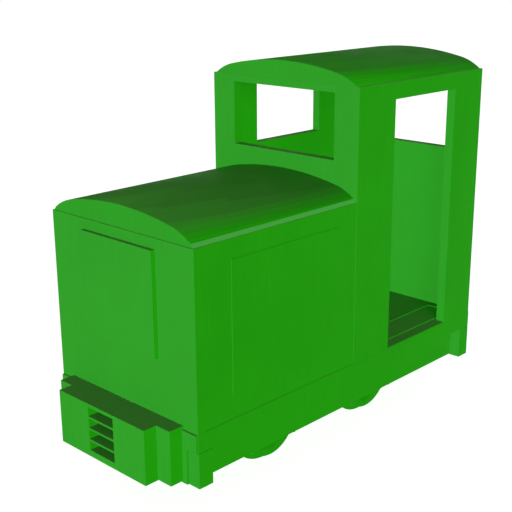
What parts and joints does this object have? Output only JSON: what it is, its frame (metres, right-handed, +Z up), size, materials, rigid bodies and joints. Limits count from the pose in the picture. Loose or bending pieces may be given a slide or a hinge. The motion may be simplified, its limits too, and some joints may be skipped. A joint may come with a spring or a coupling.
{
  "type": "narrow-gauge diesel locomotive",
  "caption": "Small two-axle diesel locomotive with a plate frame, arched bonnet, open cab with arched roof and stepped coupler blocks at both ends.",
  "frame": {"origin": "bottom centre of the whole box, at the lowest point of the wheel flanges", "axes": "+Z up, -Y towards the bonnet end, +X towards the side with the open doorway"},
  "size_m": [1.216, 3.001, 2.3858],
  "materials": {
    "green_paint": "satin",
    "running_steel": "satin",
    "dark_gear": "matte",
    "seat_steel": "satin"
  },
  "bodies": {
    "chassis": {"axle_drives": "dark_gear", "axleboxes_front": "dark_gear", "axleboxes_rear": "dark_gear", "bonnet_front": "green_paint", "bonnet_front_panel": "green_paint", "bonnet_lid": "green_paint", "bonnet_side_left": "green_paint", "bonnet_side_right": "green_paint", "bonnet_sill_left": "green_paint", "bonnet_sill_right": "green_paint", "brake_beams": "dark_gear", "brake_column": "dark_gear", "brake_hangers": "dark_gear", "brake_pull_rod": "running_steel", "cab_floor": "green_paint", "cab_floor_mat": "green_paint", "cab_front_wall": "green_paint", "cab_left_wall": "green_paint", "cab_rear_wall": "green_paint", "cab_right_wall": "green_paint", "cab_roof": "green_paint", "control_desk": "green_paint", "control_levers": "running_steel", "driver_seat": "seat_steel", "engine": "dark_gear", "frame_left": "green_paint", "frame_right": "green_paint", "frame_stretchers": "dark_gear", "front_beam": "green_paint", "front_coupler": "green_paint", "front_plate": "green_paint", "gearbox": "dark_gear", "horn_guides": "dark_gear", "rear_beam": "green_paint", "rear_coupler": "green_paint", "rear_plate": "green_paint", "spring_hangers": "dark_gear", "springs_front": "dark_gear", "springs_rear": "dark_gear"},
    "front_wheelset": {"axle_front": "running_steel", "wheel_front_left": "running_steel", "wheel_front_right": "running_steel"},
    "rear_wheelset": {"axle_rear": "running_steel", "wheel_rear_left": "running_steel", "wheel_rear_right": "running_steel"},
    "right_door": {"bonnet_door_right": "green_paint"},
    "left_door": {"bonnet_door_left": "green_paint"}
  },
  "joints": [
    {"name": "front_axle_turn", "type": "hinge", "parent": "chassis", "child": "front_wheelset", "pos_m": [0, -0.4895, 0.268], "axis": [1, 0, 0], "continuous": true},
    {"name": "rear_axle_turn", "type": "hinge", "parent": "chassis", "child": "rear_wheelset", "pos_m": [0, 0.4625, 0.268], "axis": [1, 0, 0], "continuous": true},
    {"name": "right_door_hinge", "type": "hinge", "parent": "chassis", "child": "right_door", "pos_m": [0.6013, -0.608, 1.478], "axis": [0, -1, 0], "range_deg": [0, 90]},
    {"name": "left_door_hinge", "type": "hinge", "parent": "chassis", "child": "left_door", "pos_m": [-0.6013, -0.608, 1.478], "axis": [0, 1, 0], "range_deg": [0, 90]}
  ]
}
